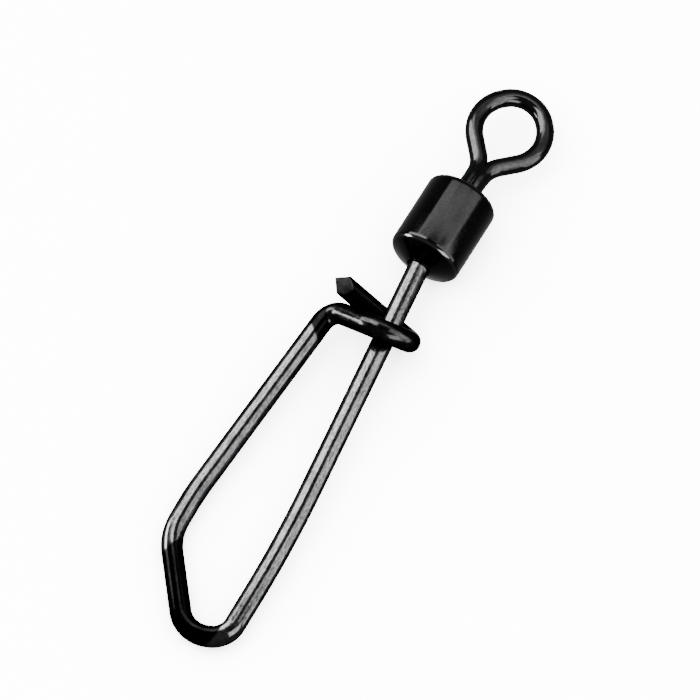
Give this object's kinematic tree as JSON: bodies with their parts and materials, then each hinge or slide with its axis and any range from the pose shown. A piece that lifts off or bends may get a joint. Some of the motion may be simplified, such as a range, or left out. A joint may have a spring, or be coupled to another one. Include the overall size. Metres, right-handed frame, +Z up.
{
  "type": "fishing snap swivel",
  "caption": "Rolling barrel swivel with a wire eye at one end and a hooked wire snap at the other, both free to turn in the barrel.",
  "frame": {"origin": "middle of the object's box, on the surface that it rests on", "axes": "+X along the swivel, from the snap to the eye; +Y to the side of the snap's loop; +Z up"},
  "size_m": [0.0454, 0.0085, 0.0048],
  "materials": {
    "barrel": "black nickel plating, satin",
    "eye_wire": "black nickel plating, satin",
    "snap_wire": "black nickel plating on drawn wire"
  },
  "bodies": {
    "barrel": {"barrel": "barrel"},
    "eye": {"eye": "eye_wire"},
    "snap": {"snap": "snap_wire"}
  },
  "joints": [
    {"name": "eye_swivel", "type": "hinge", "parent": "barrel", "child": "eye", "pos_m": [0.01409, -0.00122, 0.00243], "axis": [0.9988, -0.0349, -0.0349], "continuous": true},
    {"name": "snap_swivel", "type": "hinge", "parent": "barrel", "child": "snap", "pos_m": [0.00805, -0.00122, 0.00243], "axis": [-0.994, -0.0992, -0.0462], "continuous": true}
  ]
}
